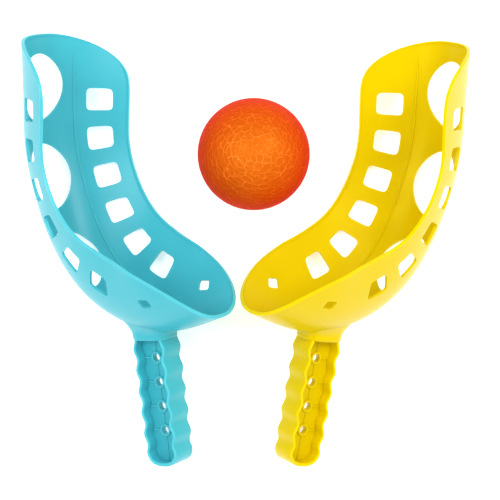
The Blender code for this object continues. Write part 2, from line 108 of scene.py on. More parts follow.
# Ribs on the web: height, width, rounding of their edges
CROSS_RIB = (1.3 * MM, 1.1 * MM, 0.25 * MM)
SPINE_RIB = (0.6 * MM, 0.8 * MM, 0.15 * MM)
# How far ribs run into the bosses, the side flanges and the end flange
INTO_BOSS, INTO_FLANGE, INTO_END = 0.4 * MM, 1.0 * MM, 0.5 * MM

# How much painted highlight each form gets, from 0 as in the walls to 1 as on the rim: edges are
# painted paler where light would catch them
HIGHLIGHT_RIM, HIGHLIGHT_BY_RIM, HIGHLIGHT_FLANGE, HIGHLIGHT_BOSS, HIGHLIGHT_RIB, HIGHLIGHT_RIDGE = 1.0, 0.6, 0.8, 0.7, 0.7, 0.6
HIGHLIGHT_SPINE = 0.0

# Edges are rounded where the wall turns by more, and shaded smooth where faces turn by less
ROUNDED_ABOVE, SMOOTH_BELOW = math.radians(50.0), math.radians(38.0)

# The ball's network: where its pole points, within how many radians of it the cells are even, and
# how much smaller they are there and within what reach; how much closer the lines lie from pole to
# pole than round the ball, how far the cells are shaken from an even spread, and how lines wander
NET_POLE, NET_POLE_EVEN = (0.06, -0.12, 1.0), 0.3
NET_POLE_CLOSER, NET_POLE_REACH = 0.5, 0.5
NET_STRETCH, NET_SHAKE, NET_SEED = 2.2, 0.48, 5
NET_WANDER = ((11.0 * MM, 2.6 * MM), (4.0 * MM, 1.1 * MM))
# Cells looked at round a point, and the flattest that a border between two may lie to the skin
NET_NEIGHBOURS, NET_FLATTEST = 5, 0.3
BALL_RINGS_SHARE = 0.55

# How the scoops lie: roll about the grip, lean of the grip on the floor
ROLL = math.radians(52.0)
BLUE_LEAN, YELLOW_LEAN = math.radians(6.9), math.radians(10.4)

# Soft lights: name, place, what they point at, width, height, watts
LIGHTS = (
    ("left_softbox", (-0.75, -0.02, 1.6), (0.0, 0.05, 0.05), 0.8, 0.8, 15.5),
    ("right_softbox", (0.9, 0.32, 1.5), (0.0, 0.05, 0.05), 0.8, 0.8, 16.5),
    ("front_fill", (0.1, -1.2, 1.3), (0.0, -0.05, 0.03), 1.0, 0.6, 5.0),
    ("side_strip", (-1.26, 0.19, 0.62), (0.0, 0.08, 0.03), 0.5, 0.3, 1.5),
    ("side_strip", (1.26, 0.19, 0.62), (0.0, 0.08, 0.03), 0.5, 0.3, 1.5),
)
ROOM_LIGHT = 0.58
FLOOR_SIZE, FLOOR_DROP = 12.0, 0.2 * MM
# The camera looks down from a little in front: tilt, distance, what it looks at, lens and sensor
CAMERA_TILT, CAMERA_AWAY, CAMERA_TARGET = math.radians(8.4), 1.49, (0.0033, -0.001, 0.03)
CAMERA_LENS, CAMERA_SENSOR = 135.1, 36.0


def linear(code):
    """An sRGB hex colour as linear red, green, blue and alpha."""
    parts = [int(code.lstrip("#")[i:i + 2], 16) / 255 for i in (0, 2, 4)]
    return [c / 12.92 if c <= 0.04045 else ((c + 0.055) / 1.055) ** 2.4 for c in parts] + [1.0]


class ScoopSetSettings(PropertyGroup):
    grid_step: FloatProperty(
        name="Grid step", description="Longest cell of the trough's mesh",
        default=1.7 * MM, min=1.0 * MM, unit="LENGTH")
    wall: FloatProperty(
        name="Wall", description="Thickness of the trough's wall", default=2.2 * MM, unit="LENGTH")
    rim_bead: FloatProperty(
        name="Rim bead", description="Thickness of the wall at its rim",
        default=2.7 * MM, unit="LENGTH")
    bead_width: FloatProperty(
        name="Bead width", description="Width of the thicker band along the rim",
        default=1.8 * MM, unit="LENGTH")
    edge_radius: FloatProperty(
        name="Edge radius", description="Rounding of moulded edges", default=0.55 * MM,
        unit="LENGTH")
    ridge_radius: FloatProperty(
        name="Ridge radius", description="Radius of the fine ridges inside the trough",
        default=0.8 * MM, unit="LENGTH")
    wave_height: FloatProperty(
        name="Finger wave", description="Height of the grip's waves", default=1.2 * MM,
        unit="LENGTH")
    ball_diameter: FloatProperty(
        name="Ball diameter", description="Outer diameter of the soft ball", default=89.0 * MM,
        unit="LENGTH")
    line_spacing: FloatProperty(
        name="Line spacing", description="Distance between raised lines on the ball",
        default=8.0 * MM, unit="LENGTH")
    line_width: FloatProperty(
        name="Line width", description="Width of a raised line on the ball",
        default=1.1 * MM, unit="LENGTH")
    line_height: FloatProperty(
        name="Line height", description="How far the lines stand out of the ball's skin",
        default=0.22 * MM, unit="LENGTH")
    ball_segments: IntProperty(
        name="Ball segments", description="Faces round the ball", default=400, min=32)
    # Strength of the painted highlight on rims, flanges, bosses, ribs and ridges: how much paler
    # their colour is painted
    edge_highlight_paint: FloatProperty(
        name="Painted edge highlight", description="How much less colour the plastic has where it is thin",
        default=0.14, min=0.0, max=1.0, subtype="FACTOR")
    turquoise: StringProperty(
        name="Turquoise", description="Colour of the first scoop, sRGB hex", default="#3FB0BE")
    turquoise_shine: StringProperty(
        name="Turquoise shine", description="Colour of the first scoop's gloss, sRGB hex",
        default="#E8FFFF")
    yellow: StringProperty(
        name="Yellow", description="Colour of the second scoop, sRGB hex", default="#D7BC00")
    yellow_shine: StringProperty(
        name="Yellow shine", description="Colour of the second scoop's gloss, sRGB hex",
        default="#FFEC50")
    orange: StringProperty(
        name="Orange", description="Colour of the ball under its clear skin, sRGB hex",
        default="#C8A936")
    orange_line: StringProperty(
        name="Orange line", description="Colour of the raised lines under the clear skin, sRGB hex",
        default="#EAE08A")
    orange_skin: StringProperty(
        name="Orange skin", description="Tint of the ball's clear skin, sRGB hex",
        default="#FC8E54")
    orange_shine: StringProperty(
        name="Orange shine", description="Colour of the ball's gloss, sRGB hex",
        default="#FFFF78")


# ---- Trough surface


def spline(values, t):
    """Natural cubic through equally spaced values, read at station numbers t, with its slope."""
    values = np.asarray(values, float)
    last = len(values) - 1
    system = 4.0 * np.eye(last + 1) + np.eye(last + 1, k=1) + np.eye(last + 1, k=-1)
    system[0, 0] = system[last, last] = 2.0
    rise = np.empty_like(values)
    rise[1:-1] = values[2:] - values[:-2]
    rise[0] = values[1] - values[0]
    rise[-1] = values[-1] - values[-2]
    slopes = np.linalg.solve(system, 3.0 * rise)
    t = np.clip(np.asarray(t, float), 0.0, last)
    i = np.minimum(t.astype(int), last - 1)
    f = (t - i)[..., None]
    a, b, da, db = values[i], values[i + 1], slopes[i], slopes[i + 1]
    place = (a * (1 + 2 * f) * (1 - f) ** 2 + b * f * f * (3 - 2 * f)
             + da * f * (1 - f) ** 2 - db * f * f * (1 - f))
    slope = 6 * f * (1 - f) * (b - a) + da * (1 - f) * (1 - 3 * f) + db * f * (3 * f - 2)
    return place, slope


def trough(t, q):
    """Point of the trough's outer face: t is a station number, q runs from -1 to 1 across."""
    t, q = np.broadcast_arrays(np.asarray(t, float), np.asarray(q, float))
    place, slope = spline(np.array(STATIONS) * MM, t)
    run = slope[..., :2] / np.linalg.norm(slope[..., :2], axis=-1, keepdims=True)
    lift = place[..., 2] * np.abs(q) ** SECTION_POWER
    x = place[..., 0] - run[..., 1] * lift
    z = place[..., 1] + run[..., 0] * lift
    return np.stack([x, place[..., 3] * q, z], -1)


def inside_trough(t, q, depth, step=0.01):
    """Point this far inwards from the outer face."""
    ahead = trough(t + step, q) - trough(t - step, q)
    aside = trough(t, q + step) - trough(t, q - step)
    inward = np.cross(ahead, aside)
    return trough(t, q) + inward / np.linalg.norm(inward, axis=-1, keepdims=True) * depth


def station_at(distance, q):
    """Station number that lies this far from the tip along the line of constant q."""
    t = np.linspace(0.0, LAST, 401)
    steps = np.linalg.norm(np.diff(trough(t, q), axis=0), axis=1)
    return np.interp(distance, np.concatenate([[0.0], np.cumsum(steps)]), t)


def per_station(t, q, half_step=0.05):
    """Length of one station step along the trough there."""
    apart = trough(t + half_step, q) - trough(t - half_step, q)
    return float(np.linalg.norm(apart) / (2 * half_step))


def per_share(t, q, half_step=0.02):
    """Length of one unit of q across the trough there."""
    apart = trough(t, q + half_step) - trough(t, q - half_step)
    return float(np.linalg.norm(apart) / (2 * half_step))


def draw_back(q, reach, power):
    """How far an end of the trough draws back at q, as rounded corners do."""
    return reach * (1.0 - (1.0 - np.abs(q) ** power) ** (1.0 / power))


def blank(along, across):
    """Station and share of a point of the blank, whose outline is the trough's rounded rim."""
    tip = TIP_ROUND / per_station(0.5, 0.0)
    lip = LIP_ROUND / per_station(LAST - 0.5, 0.0)
    tip_corner, lip_corner = 2.0 ** (-1.0 / TIP_POWER), 2.0 ** (-1.0 / LIP_POWER)
    first_t, last_t = tip * (1.0 - tip_corner), LAST - lip * (1.0 - lip_corner)
    side_t = first_t + along * (last_t - first_t)
    tip_t = draw_back(across * tip_corner, tip, TIP_POWER)
    lip_t = LAST - draw_back(across * lip_corner, lip, LIP_POWER)
    near_tip = np.clip(1.0 - side_t / tip, 0.0, 1.0)
    near_lip = np.clip(1.0 - (LAST - side_t) / lip, 0.0, 1.0)
    edge = ((1.0 - near_tip ** TIP_POWER) ** (1.0 / TIP_POWER)
            * (1.0 - near_lip ** LIP_POWER) ** (1.0 / LIP_POWER))
    return side_t + (1.0 - along) * (tip_t - first_t) + along * (lip_t - last_t), across * edge


def filled(stops, length_of, step):
    """The stops, with as many equal steps put between them as keep each below the step."""
    values = [stops[0]]
    for start, end in zip(stops, stops[1:]):
        count = max(1, math.ceil(length_of(start, end) / step - 0.05))
        values += [start + (end - start) * k / count for k in range(1, count + 1)]
    return np.array(values)


def windows_of(side):
    """The side wall's windows: station, share, half sizes in stations and shares, corner power."""
    cuts = []
    for number in range(WINDOW_COUNT + 1):
        if number < WINDOW_COUNT:
            blend = number / (WINDOW_COUNT - 1)
            width = WINDOW_WIDTHS[0] + blend * (WINDOW_WIDTHS[1] - WINDOW_WIDTHS[0])
            far, line, length = FIRST_WINDOW + number * WINDOW_PITCH, WINDOW_LINE, WINDOW_LENGTH
        else:
            step, line, length, width = SMALL_WINDOW
            far = FIRST_WINDOW + (WINDOW_COUNT - 1) * WINDOW_PITCH + step
        t = float(station_at(far, line))
        cuts.append((t, side * line, length / 2 / per_station(t, line),
                     width / 2 / per_share(t, line), WINDOW_POWER))
    return cuts


def ovals():
    """The ovals down the back, in the same terms as the windows."""
    cuts = []
    for number in range(OVAL_COUNT):
        t = float(station_at(FIRST_OVAL + number * OVAL_PITCH, 0.0))
        half_width = OVAL_WIDTH / 2 / float(spline(np.array(STATIONS) * MM, t)[0][3])
        cuts.append((t, 0.0, OVAL_LENGTH / 2 / per_station(t, 0.0), half_width, OVAL_POWER))
    return cuts


def grid_shares(settings):
    """Shares along and across the blank for the rows and columns of the trough's mesh."""
    middle = LAST / 2
    half_window = WINDOW_MARGIN * WINDOW_WIDTHS[0] / 2 / per_share(middle, WINDOW_LINE)
    bead = settings.bead_width / per_share(middle, 0.97)
    half_oval = OVAL_MARGIN * OVAL_WIDTH / 2 / (STATIONS[0][3] * MM)
    half = [0.0, half_oval, WINDOW_LINE - half_window, WINDOW_LINE + half_window,
            1.0 - bead, 1.0 - bead * 2 / 3, 1.0 - bead / 3, 1.0]
    across = filled([-q for q in half[:0:-1]] + half[1:],
                    lambda a, b: per_share(middle, (a + b) / 2) * (b - a), settings.grid_step)
    fine = np.linspace(0.0, 1.0, 401)
    t, _ = blank(fine, WINDOW_LINE)
    stops = []
    for centre, _, half_t, _, _ in windows_of(1):
        ends = [centre - WINDOW_MARGIN * half_t, centre + WINDOW_MARGIN * half_t]
        stops += list(np.interp(ends, t, fine))
    length = np.linalg.norm(np.diff(trough(t, WINDOW_LINE), axis=0), axis=1).sum()
    thirds = [settings.bead_width / length * k / 3 for k in range(4)]
    along = filled(thirds + stops + [1.0 - k for k in reversed(thirds)],
                   lambda a, b: (b - a) * length, settings.grid_step)
    return along, across


def block_round(cut, t, q):
    """Rows and columns of the grid that close round a cut-out, a little way off its edge."""
    centre_t, centre_q, half_t, half_q, _ = cut
    far = np.hypot((t - centre_t) / half_t, (q - centre_q) / half_q)
    row, column = np.unravel_index(np.argmin(far), far.shape)
    reach = t[:, column] - centre_t
    width = q[row, :] - centre_q
    room_t = half_t + LEAST_MARGIN / per_station(centre_t, centre_q)
    room_q = half_q + LEAST_MARGIN / per_share(centre_t, centre_q)
    return (int(np.nonzero(reach < -room_t)[0].max()), int(np.nonzero(reach > room_t)[0].min()),
            int(np.nonzero(width < -room_q)[0].max()), int(np.nonzero(width > room_q)[0].min()))


# ---- Modelling helpers


def deselect():
    for thing in bpy.context.selected_objects:
        thing.select_set(False)


def make_active(thing):
    deselect()
    thing.select_set(True)
    bpy.context.view_layer.objects.active = thing


def apply_modifier(thing, kind, **values):
    """Add a modifier with its settings and apply it."""
    make_active(thing)
    modifier = thing.modifiers.new(kind.title(), kind)
    for name, value in values.items():
        setattr(modifier, name, value)
    bpy.ops.object.modifier_apply(modifier=modifier.name)


def shaped_grid(name, points):
    """A grid primitive whose points are moved, row by row, to the places given."""
    rows, columns = points.shape[:2]
    deselect()
    bpy.ops.mesh.primitive_grid_add(x_subdivisions=columns - 1, y_subdivisions=rows - 1, size=2.0)
    piece = bpy.context.object
    piece.name = name
    piece.data.vertices.foreach_set("co", points.ravel())
    return piece, np.arange(rows * columns).reshape(rows, columns)


def closed_sweep(name, rings):
    """Rings of points swept into a closed skin, its seam merged and its open ends filled."""
    piece, _ = shaped_grid(name, np.concatenate([rings, rings[:, :1]], axis=1))
    make_active(piece)
    bpy.ops.object.mode_set(mode="EDIT")
    bm = bmesh.from_edit_mesh(piece.data)
    bmesh.ops.remove_doubles(bm, verts=bm.verts, dist=0.00001)
    open_edges = [e for e in bm.edges if e.is_boundary]
    if open_edges:
        bmesh.ops.holes_fill(bm, edges=open_edges, sides=0)
    bmesh.ops.recalc_face_normals(bm, faces=bm.faces)
    bmesh.update_edit_mesh(piece.data)
    bpy.ops.object.mode_set(mode="OBJECT")
    return piece


def mesh_points(mesh):
    flat = np.empty(len(mesh.vertices) * 3)
    mesh.vertices.foreach_get("co", flat)
    return flat.reshape(-1, 3)


def mark_painted_highlight(piece, highlight_share):
    """Notes how much painted highlight each point gets, from 0 to 1."""
    group = piece.vertex_groups.new(name="painted_edge_highlight")
    highlight_share = np.broadcast_to(highlight_share, len(piece.data.vertices))
    for level in np.unique(highlight_share):
        group.add(np.nonzero(highlight_share == level)[0].tolist(), float(level), "REPLACE")
    return piece


def painted_highlight_attribute(piece):
    """Turns the notes on painted highlight into an attribute that the material reads."""
    index = piece.vertex_groups["painted_edge_highlight"].index
    highlight_share = [next((g.weight for g in v.groups if g.group == index), 0.0)
                for v in piece.data.vertices]
    piece.vertex_groups.clear()
    layer = piece.data.attributes.new("painted_edge_highlight", "FLOAT", "POINT")
    layer.data.foreach_set("value", highlight_share)


def joined(pieces, name):
    """The pieces as one object, with smooth faces and edges sharp only where they turn."""
    deselect()
    for piece in pieces:
        piece.select_set(True)
    bpy.context.view_layer.objects.active = pieces[0]
    bpy.ops.object.join()
    whole = bpy.context.object
    whole.name = name
    whole.data.name = name
    painted_highlight_attribute(whole)
    bpy.ops.object.shade_smooth_by_angle(angle=SMOOTH_BELOW)
    return whole


# ---- Scoop


def open_cut(bm, verts, cut, t, q):
    """Opens the grid at a cut-out: rows are extruded inwards from the block's edge to the cut."""
    top, bottom, left, right = block_round(cut, t, q)
    loop = ([(top, j) for j in range(left, right)] + [(i, right) for i in range(top, bottom)]
            + [(bottom, j) for j in range(right, left, -1)]
            + [(i, left) for i in range(bottom, top, -1)])
    inside = {f for i in range(top, bottom) for j in range(left, right)
              for f in verts[i][j].link_faces
              if verts[i + 1][j + 1] in f.verts}
    start = np.array([(t[i, j], q[i, j]) for i, j in loop])
    a, b = (start[:, 0] - cut[0]) / cut[2], (start[:, 1] - cut[1]) / cut[3]
    radius = (np.abs(a) ** cut[4] + np.abs(b) ** cut[4]) ** (-1.0 / cut[4])
    end = np.stack([cut[0] + a * radius * cut[2], cut[1] + b * radius * cut[3]], -1)
    gap = np.linalg.norm(trough(*start.T) - trough(*end.T), axis=1).max()
    steps = max(2, min(6, round(gap / CUT_CELL)))
    bmesh.ops.delete(bm, geom=list(inside), context="FACES")
    here = [verts[i][j] for i, j in loop]
    for k in range(1, steps + 1):
        edges = [here[n].link_edges for n in range(len(here))]
        ring = [next(e for e in edges[n] if e.other_vert(here[n]) == here[(n + 1) % len(here)])
                for n in range(len(here))]
        made = bmesh.ops.extrude_edge_only(bm, edges=ring)["geom"]
        new = {v for v in made if isinstance(v, bmesh.types.BMVert)}
        here = [next(e.other_vert(v) for e in v.link_edges if e.other_vert(v) in new) for v in here]
        share = 1.0 - (1.0 - k / steps) ** CUT_CLOSING
        places = trough(*(start + (end - start) * share).T)
        for vert, place in zip(here, places):
            vert.co = place


def make_trough(settings):
    """The trough: a grid bent along its back, opened at each cut-out and given its wall."""
    along, across = grid_shares(settings)
    t, q = blank(along[:, None], across[None, :])
    piece, order = shaped_grid("trough", trough(t, q))
    rows, columns = t.shape
    ring = np.minimum.reduce(np.broadcast_arrays(
        np.arange(rows)[:, None], np.arange(rows)[::-1, None],
        np.arange(columns)[None, :], np.arange(columns)[None, ::-1]))
    group = piece.vertex_groups.new(name="wall")
    thin = settings.wall / settings.rim_bead
    group.add(range(len(piece.data.vertices)), thin, "REPLACE")
    for depth, weight in ((0, 1.0), (1, 1.0), (2, 0.4 * thin + 0.6)):
        group.add(order[ring == depth].tolist(), weight, "REPLACE")
    # Painted highlight along the rim, and less on the row beside it
    mark_painted_highlight(piece, np.select([ring == 0, ring == 1], [HIGHLIGHT_RIM, HIGHLIGHT_BY_RIM], 0.0).ravel())
    make_active(piece)
    bpy.ops.object.mode_set(mode="EDIT")
    bm = bmesh.from_edit_mesh(piece.data)
    bm.verts.ensure_lookup_table()
    verts = [[bm.verts[n] for n in row] for row in order.tolist()]
    layer = bm.verts.layers.deform.verify()
    for cut in windows_of(1) + windows_of(-1) + ovals():
        open_cut(bm, verts, cut, t, q)
    for vert in [v for v in bm.verts if not v.link_faces]:
        bm.verts.remove(vert)
    for vert in bm.verts:
        if group.index not in vert[layer]:
            vert[layer][group.index] = thin
    bmesh.update_edit_mesh(piece.data)
    bpy.ops.object.mode_set(mode="OBJECT")
    apply_modifier(piece, "SOLIDIFY", thickness=settings.rim_bead, offset=-1.0,
                   use_even_offset=True, use_quality_normals=True, vertex_group="wall")
    apply_modifier(piece, "BEVEL", width=settings.edge_radius, segments=3, limit_method="ANGLE",
                   angle_limit=ROUNDED_ABOVE)
    return piece


def make_ridge(side, settings):
    """Fine moulded ridge: a round bead half sunk in the trough's inner face."""
    line = side * RIDGE_LINE
    stations = station_at(np.linspace(RIDGE_START, RIDGE_END, RIDGE_POINTS), line)
    deselect()
    curve = bpy.data.curves.new("ridge", "CURVE")
    curve.dimensions = "3D"
    curve.bevel_depth = settings.ridge_radius
    curve.bevel_resolution = 3
    curve.use_fill_caps = True
    run = curve.splines.new("POLY")
    places = inside_trough(stations, line, settings.wall)
    run.points.add(len(places) - 1)
    for number, (point, place) in enumerate(zip(run.points, places)):
        point.co = (*place, 1.0)
        # The bead fades in and out over its first and last points
        point.radius = min(1.0, 0.25 + 0.15 * min(number, len(places) - 1 - number))
    thing = bpy.data.objects.new("ridge", curve)
    bpy.context.scene.collection.objects.link(thing)
    make_active(thing)
    bpy.ops.object.convert(target="MESH")
    # The ridge gets a painted highlight
    return mark_painted_highlight(bpy.context.object, HIGHLIGHT_RIDGE)


def basket_bottom(x, y):
    """Height of the trough's outer face over the grip, at x and y."""
    t = np.linspace(LAST * 0.55, LAST, 121)
    half_width = spline(np.array(STATIONS) * MM, t)[0][:, 3]
    points = trough(t, y / half_width)
    return float(np.interp(x, points[:, 0], points[:, 2]))


def rounded_ring(half_x, half_y, count=72):
    """Points x, y round the collar, a rounded oblong a little behind the grip's middle."""
    angle = 2.0 * math.pi * (np.arange(count) + 0.5) / count
    c, s = np.cos(angle), np.sin(angle)
    radius = (np.abs(c) ** COLLAR_POWER + np.abs(s) ** COLLAR_POWER) ** (-1.0 / COLLAR_POWER)
    return np.stack([half_x * radius * c - COLLAR_BACK, half_y * radius * s], -1)


def collar_roof(ring, settings):
    """Heights over the ring's points at which the collar ends, halfway into the trough's wall."""
    return np.array([basket_bottom(x, y) for x, y in ring]) + settings.wall * 0.5


def make_collar(settings):
    """Cup under the trough: a rounded foot, a short wall and a flare that runs into the trough."""
    rings = []
    for turn in np.linspace(0.0, math.pi / 2, 6):
        pull_in = COLLAR_EDGE * (1.0 - math.sin(turn))
        ring = rounded_ring(COLLAR_HALF[0] - pull_in, COLLAR_HALF[1] - pull_in)
        z = np.full(len(ring), COLLAR_BOTTOM + COLLAR_EDGE * (1.0 - math.cos(turn)))
        rings.append(np.column_stack([ring, z]))
    low = COLLAR_BOTTOM + COLLAR_EDGE
    for share in np.linspace(0.0, 1.0, 15)[1:]:
        flare = share ** 3
        ring = rounded_ring(COLLAR_HALF[0] + COLLAR_FLARE[0] * flare,
                            COLLAR_HALF[1] + COLLAR_FLARE[1] * flare)
        roof = collar_roof(ring, settings)
        rings.append(np.column_stack([ring, low + (roof - low) * share]))
    for share in (0.75, 0.5, 0.25, 0.05):
        ring = rounded_ring((COLLAR_HALF[0] + COLLAR_FLARE[0]) * share,
                            (COLLAR_HALF[1] + COLLAR_FLARE[1]) * share)
        rings.append(np.column_stack([ring, collar_roof(ring, settings)]))
    return closed_sweep("collar", np.array(rings))


def grip_side(inset, end_inset, settings, steps=12, end_steps=14):
    """Wavy line of the grip in X and Z, from its top on one side round its end to the other."""
    straight = GRIP_LENGTH - GRIP_END_ROUND
    count = round((straight + GRIP_TOP) / (WAVE_PITCH / steps))
    depth = np.linspace(-GRIP_TOP, straight, count)
    wave = settings.wave_height * np.cos(2.0 * math.pi * (depth - FIRST_WAVE) / WAVE_PITCH)
    side = [(GRIP_HALF_X + w - inset, -d) for w, d in zip(wave, depth)]
    half_end, end_depth = side[-1][0], GRIP_END_ROUND - end_inset
    for turn in np.linspace(0.0, math.pi / 2, end_steps)[1:-1]:
        side.append((half_end * math.cos(turn) ** (2 / GRIP_END_POWER),
                     -straight - end_depth * math.sin(turn) ** (2 / GRIP_END_POWER)))
    return np.array(side + [(0.0, -straight - end_depth)] + [(-x, z) for x, z in reversed(side)])


def make_band(settings):
    """The wavy flange round the grip: a strip with rounded edges swept along the grip's outline."""
    outer, inner = grip_side(0.0, 0.0, settings), grip_side(FLANGE, END_FLANGE, settings)
    corner = FLANGE_ROUND
    section = []
    for u, v, start in ((0, 1, 0.0), (1, 1, 0.5), (1, -1, 1.0), (0, -1, 1.5)):
        for turn in np.linspace(0.0, math.pi / 2, 5):
            angle = math.pi * (0.5 - start) - turn + math.pi / 2
            section.append((u, v * (GRIP_HALF_Y - corner), math.cos(angle), math.sin(angle)))
    rings = []
    for place_out, place_in in zip(outer, inner):
        across = place_in - place_out
        thickness = np.linalg.norm(across)
        across /= thickness
        ring = []
        for u, y, c, s in section:
            off = corner + u * (thickness - 2 * corner) + corner * c
            place = place_out + across * off
            ring.append((place[0], y + corner * s, place[1]))
        rings.append(ring)
    band = closed_sweep("grip_band", np.array(rings))
    # The flange's rounded edges get a painted highlight
    on_edge = np.abs(mesh_points(band.data)[:, 1]) > GRIP_HALF_Y - corner
    return mark_painted_highlight(band, np.where(on_edge, HIGHLIGHT_FLANGE, 0.0))


def make_web(settings):
    """The web across the grip, with a hole at each boss."""
    line = grip_side(FLANGE * 0.5, END_FLANGE * 0.5, settings)
    deselect()
    bpy.ops.mesh.primitive_circle_add(vertices=len(line), radius=1.0, fill_type="NGON")
    web = bpy.context.object
    web.name = "grip_web"
    make_active(web)
    bpy.ops.object.mode_set(mode="EDIT")
    bm = bmesh.from_edit_mesh(web.data)
    face = next(iter(bm.faces))
    for vert, (x, z) in zip(list(face.verts), line):
        vert.co = (x, -WEB / 2, z)
    made = bmesh.ops.extrude_face_region(bm, geom=[face])["geom"]
    far_side = [v for v in made if isinstance(v, bmesh.types.BMVert)]
    bmesh.ops.translate(bm, vec=(0.0, WEB, 0.0), verts=far_side)
    bmesh.ops.recalc_face_normals(bm, faces=bm.faces)
    bmesh.update_edit_mesh(web.data)
    bpy.ops.object.mode_set(mode="OBJECT")
    for z in BOSS_PLACES:
        deselect()
        bpy.ops.mesh.primitive_cylinder_add(
            vertices=48, radius=(BOSS_HOLE + BOSS_RADIUS) / 2, depth=4 * WEB,
            location=(0.0, 0.0, z), rotation=(math.pi / 2, 0.0, 0.0))
        drill = bpy.context.object
        apply_modifier(web, "BOOLEAN", object=drill, operation="DIFFERENCE", solver="EXACT")
        bpy.data.objects.remove(drill, do_unlink=True)
    return web


def make_boss(z):
    """A boss: a turned ring through the web, with a rounded mouth on each side."""
    half, corner = WEB / 2 + BOSS_HEIGHT, BOSS_ROUND
    hole_side, rim_side = BOSS_HOLE + corner, BOSS_RADIUS - corner
    profile = []
    for u, v, quarter in ((hole_side, -1, 2), (rim_side, -1, 3),
                          (rim_side, 1, 0), (hole_side, 1, 1)):
        for turn in np.linspace(0.0, math.pi / 2, 4) + quarter * math.pi / 2:
            profile.append((u + corner * math.cos(turn),
                            v * (half - corner) + corner * math.sin(turn)))
    profile.append(profile[0])
    profile = np.array(profile)
    angle = np.linspace(0.0, 2.0 * math.pi, 49)[:-1]
    rings = np.stack([profile[:, 0][:, None] * np.cos(angle)[None, :],
                      np.repeat(profile[:, 1][:, None], len(angle), 1),
                      profile[:, 0][:, None] * np.sin(angle)[None, :] + z], -1)
    boss = closed_sweep("boss", rings)
    # The mouths of the boss get a painted highlight
    on_mouth = np.abs(mesh_points(boss.data)[:, 1]) > half - corner
    return mark_painted_highlight(boss, np.where(on_mouth, HIGHLIGHT_BOSS, 0.0))


def make_bar(low, high, round_off, highlight_share):
    """A small moulded bar with rounded edges."""
    deselect()
    bpy.ops.mesh.primitive_cube_add(
        size=1.0, location=[(a + b) / 2 for a, b in zip(low, high)],
        scale=[b - a for a, b in zip(low, high)])
    bar = bpy.context.object
    bpy.ops.object.transform_apply(location=True, rotation=True, scale=True)
    apply_modifier(bar, "BEVEL", width=round_off, segments=2)
    return mark_painted_highlight(bar, highlight_share)


def make_grip(settings):
    """Everything below the collar: band, web, bosses and the small ribs."""
    pieces = [make_band(settings), make_web(settings)]
    inner_half = GRIP_HALF_X - FLANGE - settings.wave_height + INTO_FLANGE
    into = BOSS_RADIUS - INTO_BOSS
    rib_height, rib_width, rib_round = CROSS_RIB
    rib_y = WEB / 2 + rib_height
    for z in BOSS_PLACES:
        pieces.append(make_boss(z))
        # The cross ribs get a painted highlight; the spine gets none
        for x_from, x_to in ((-inner_half, -into), (into, inner_half)):
            pieces.append(make_bar((x_from, -rib_y, z - rib_width / 2),
                                   (x_to, rib_y, z + rib_width / 2), rib_round, HIGHLIGHT_RIB))
    spine_height, spine_width, spine_round = SPINE_RIB
    spine_y = WEB / 2 + spine_height
    ends = [0.0] + [z + side * into for z in BOSS_PLACES for side in (1, -1)]
    ends.append(-GRIP_LENGTH + END_FLANGE - INTO_END)
    for top, bottom in zip(ends[::2], ends[1::2]):
        pieces.append(make_bar((-spine_width / 2, -spine_y, bottom),
                               (spine_width / 2, spine_y, top), spine_round, HIGHLIGHT_SPINE))
    return pieces


def laid_turn(points, side, lean):
    """Turn that lays a scoop on its side wall so that belly and grip end both meet the floor."""
    roll = side * ROLL
    base = np.array(((math.sin(roll), math.cos(roll), 0.0),
                     (0.0, 0.0, 1.0),
                     (math.cos(roll), -math.sin(roll), 0.0)))
    laid = points @ base.T
    on_grip = points[:, 2] < COLLAR_BOTTOM
    # The droop of the grip is found by halving: more of it as long as the grip's end is in the air
    low, high = math.radians(-10.0), math.radians(40.0)
    for _ in range(20):
        droop = (low + high) / 2
        heights = laid[:, 2] * math.cos(droop) + laid[:, 1] * math.sin(droop)
        if heights[on_grip].min() > heights[~on_grip].min():
            low = droop
        else:
            high = droop
    turn = Matrix.Rotation(side * lean, 3, "Z") @ Matrix.Rotation(droop, 3, "X")
    return np.array(turn) @ base


def lay_on_floor(piece, node, side, lean):
    """Puts the upright scoop where the CAD node lies, no larger than the node in any direction."""
    points = mesh_points(piece.data)
    points = points @ laid_turn(points, side, lean).T
    low, high = points.min(axis=0), points.max(axis=0)
    node_low, node_high = (np.array(corner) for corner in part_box(node))
    fit = min(1.0, float(((node_high - node_low) / (high - low)).min()))
    points = (points - (low + high) / 2) * fit + (node_low + node_high) / 2
    piece.data.vertices.foreach_set("co", points.ravel())
    piece.data.update()


class SCOOPSET_OT_scoops(Operator):
    """Build both scoops: one moulding, laid down twice"""
    bl_idname = "scoop_set.scoops"
    bl_label = "Scoops"
    bl_options = {"REGISTER", "UNDO"}

    def execute(self, context):
        settings = context.scene.scoop_set
        pieces = [make_trough(settings), make_collar(settings)]
        pieces += [make_ridge(side, settings) for side in (1, -1)]
        first = joined(pieces + make_grip(settings), "turquoise_scoop")
        second = first.copy()
        second.data = first.data.copy()
        second.name = second.data.name = "yellow_scoop"
        context.scene.collection.objects.link(second)
        for piece, node, side, lean, colour, shine, slot, material in (
                (first, "scoop_blue", 1, BLUE_LEAN, settings.turquoise, settings.turquoise_shine,
                 "turquoise_plastic", "turquoise moulded polypropylene"),
                (second, "scoop_yellow", -1, YELLOW_LEAN, settings.yellow, settings.yellow_shine,
                 "yellow_plastic", "yellow moulded polypropylene")):
            lay_on_floor(piece, node, side, lean)
            piece.data.materials.clear()
            piece.data.materials.append(moulded_polypropylene(material, colour, shine, settings))
            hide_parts(node)
            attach(piece, "root")
        return {"FINISHED"}


# ---- Ball


